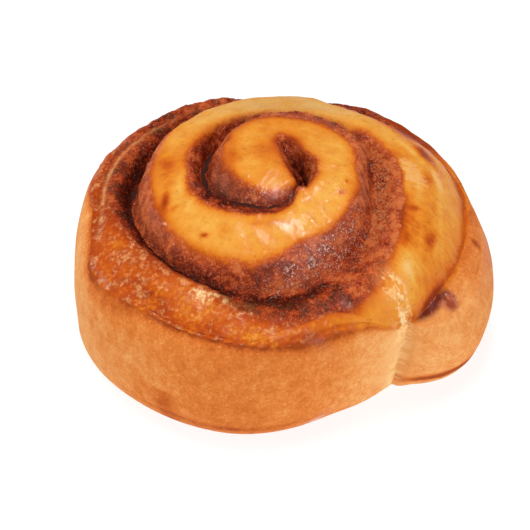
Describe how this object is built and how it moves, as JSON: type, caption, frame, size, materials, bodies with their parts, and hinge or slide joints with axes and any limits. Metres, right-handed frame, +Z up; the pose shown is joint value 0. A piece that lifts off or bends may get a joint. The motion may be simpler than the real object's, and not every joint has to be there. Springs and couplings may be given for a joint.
{
  "type": "cinnamon brioche",
  "caption": "Cinnamon brioche: a thick strip of sweet dough wound into a snail over a dark cinnamon filling, domed on top and flat below.",
  "frame": {"origin": "centre of the footprint, on the surface that the brioche rests on", "axes": "+Z up, +X to the right and -Y to the front as the picture shows it"},
  "size_m": [0.1102, 0.1074, 0.0474],
  "materials": {
    "crust": "baked golden-brown crust, glazed on top and satin on the wall",
    "filling": "dark cinnamon sugar, baked to a rough syrup"
  },
  "bodies": {
    "root": {"dough": "crust", "filling": "filling"}
  },
  "joints": []
}
